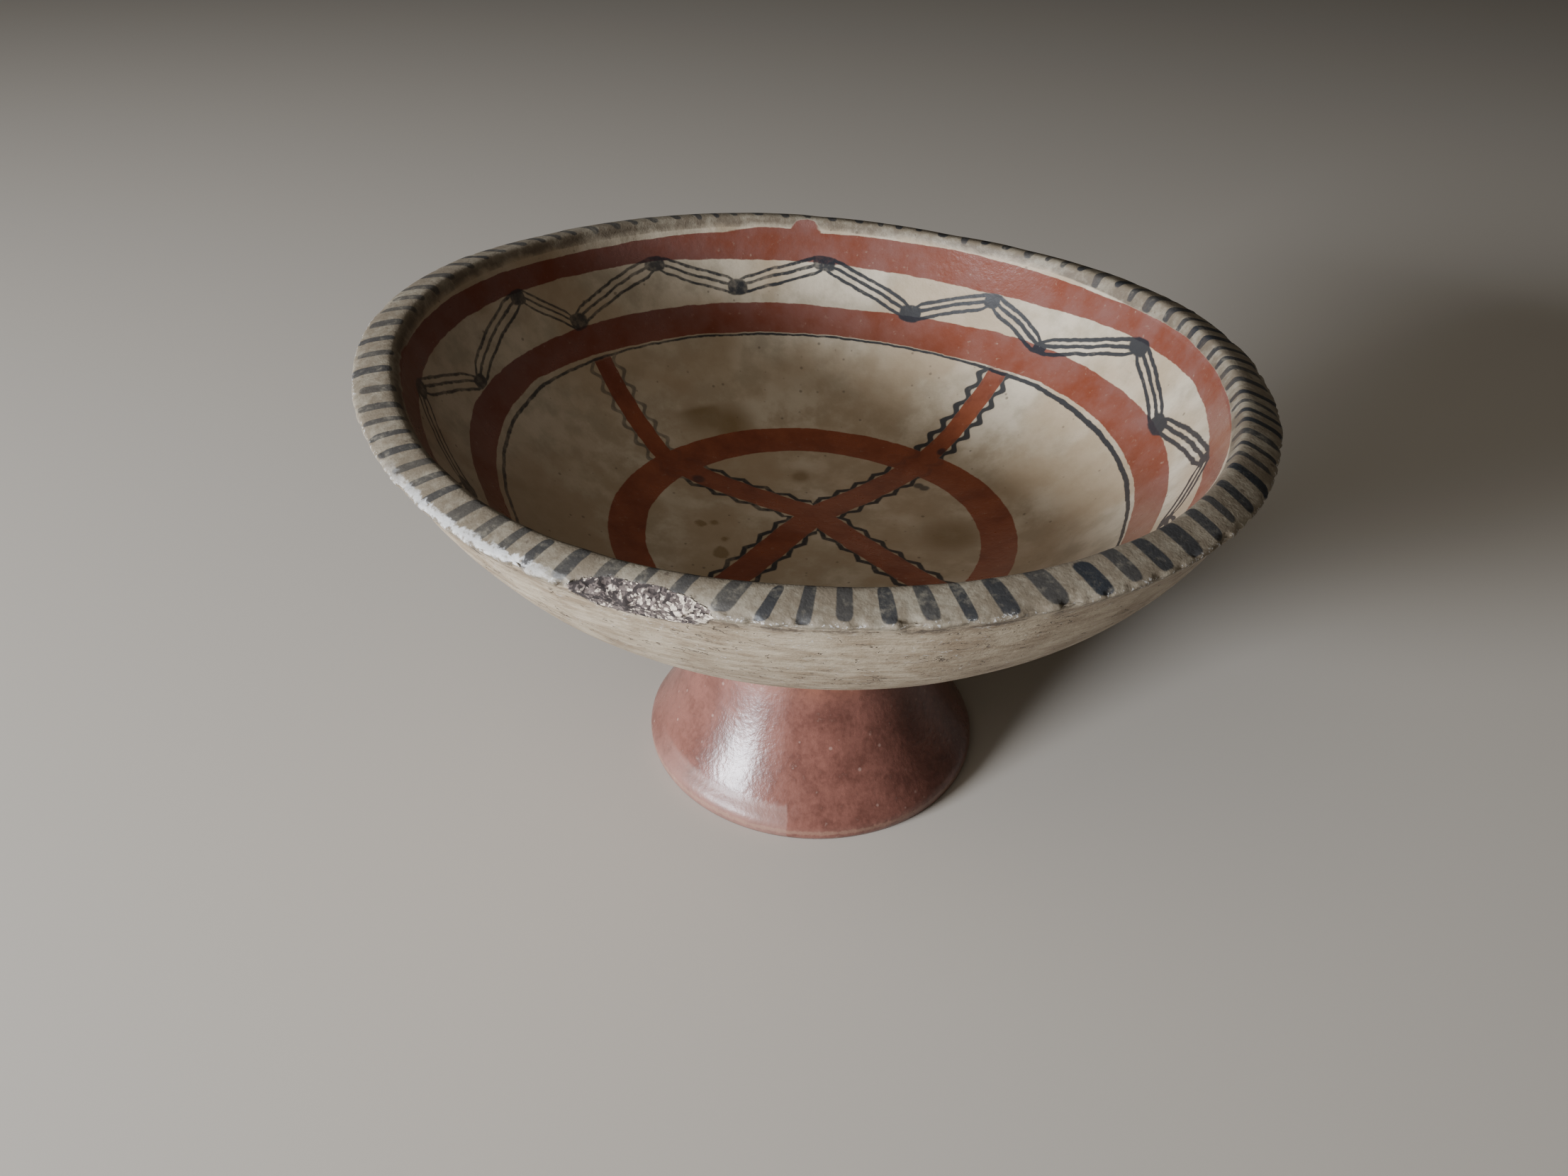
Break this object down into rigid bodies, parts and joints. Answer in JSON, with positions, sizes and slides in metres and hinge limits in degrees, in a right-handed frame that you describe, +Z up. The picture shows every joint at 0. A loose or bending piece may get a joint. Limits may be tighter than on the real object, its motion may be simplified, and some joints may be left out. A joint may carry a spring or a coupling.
{
  "type": "footed bowl",
  "caption": "Hand-built painted clay bowl on a low flaring foot, open and empty, with a thick bevelled lip that is chipped on one side.",
  "frame": {"origin": "middle of the footprint, on the surface that the foot ring stands on", "axes": "+Z up; -Y is the side with the chip, towards the viewer of the picture"},
  "size_m": [0.1958, 0.197, 0.1112],
  "materials": {
    "slipped_clay": "satin"
  },
  "bodies": {
    "root": {"footed_bowl": "slipped_clay"}
  },
  "joints": []
}
